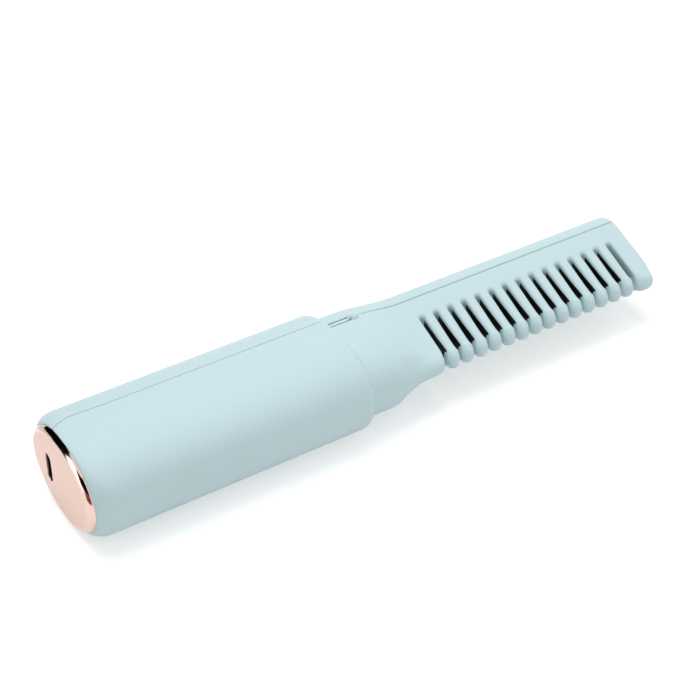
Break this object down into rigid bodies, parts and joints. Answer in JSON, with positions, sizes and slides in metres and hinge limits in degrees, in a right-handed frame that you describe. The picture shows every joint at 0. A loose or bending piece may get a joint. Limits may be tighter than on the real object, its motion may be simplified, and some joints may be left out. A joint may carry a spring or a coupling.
{
  "type": "cordless hair straightening comb",
  "caption": "Cordless hair straightening comb: oval battery handle with a charging port in its end cap, stepped neck and a wedge-shaped heated comb blade.",
  "frame": {"origin": "middle of the bounding box in X and Y, on the handle's flat back that the part lies on", "axes": "+X along the length from the end cap to the comb's tip, +Y from the teeth to the spine, +Z out of the front face"},
  "size_m": [0.199, 0.0408, 0.0284],
  "materials": {
    "shell": "matte pastel blue, fine soft-touch grain",
    "cap": "rose gold anodised: satin end face, polished rounded edge",
    "frame_plastic": "light grey moulded",
    "screw_steel": "bright zinc plated",
    "button": "matte, slightly paler than the shell",
    "dark_plastic": "moulded black",
    "clear_plastic": "milky translucent",
    "led": "encapsulated",
    "board": "green solder mask",
    "port_steel": "black-plated drawn steel",
    "port_black": "moulded black",
    "contact_gold": "gold plated",
    "chip": "moulded package",
    "ferrite": "ferrite",
    "capacitor": "ceramic, tan",
    "socket_white": "moulded off-white",
    "cell_wrap": "heat-shrink sleeve",
    "nickel": "nickel strip",
    "foam": "closed-cell foam",
    "copper_red": "tinned copper pin",
    "silicone_red": "silicone insulated",
    "silicone_white": "silicone insulated",
    "barrier": "glass-filled heat-proof board",
    "fuse": "bare metal case",
    "heater_black": "black ceramic coating, satin",
    "ceramic": "white alumina",
    "mica": "mica sheet",
    "spring_steel": "spring steel",
    "sensor_bead": "epoxy bead"
  },
  "bodies": {
    "comb": {"main_housing": "shell", "spine_lid": "shell", "end_cap": "cap", "end_frame": "frame_plastic", "cap_screws": "screw_steel", "switch_body": "dark_plastic", "light_guide": "clear_plastic", "status_leds": "led", "main_board": "board", "board_screws": "screw_steel", "usb_shell": "port_steel", "usb_tongue": "port_black", "usb_contacts": "contact_gold", "charge_chip": "chip", "control_chip": "chip", "heater_driver": "chip", "power_inductor": "ferrite", "capacitors": "capacitor", "sensor_socket": "socket_white", "battery_cell": "cell_wrap", "battery_tabs": "nickel", "battery_cradle": "frame_plastic", "battery_foam": "foam", "battery_leads": "copper_red", "heater_leads": "silicone_red", "sensor_leads": "silicone_white", "heat_barrier": "barrier", "thermal_fuse": "fuse", "heater_comb": "heater_black", "heater_element": "ceramic", "mica_sheet": "mica", "heater_clamp": "spring_steel", "heater_screws": "screw_steel", "thermistor": "sensor_bead"},
    "button": {"power_button": "button", "switch_plunger": "dark_plastic"}
  },
  "joints": [
    {"name": "power_press", "type": "slide", "parent": "comb", "child": "button", "axis": [0, -1, 0], "range_m": [0, 0.0005], "stiffness_N_per_m": 800, "springref_m": -0.002}
  ]
}
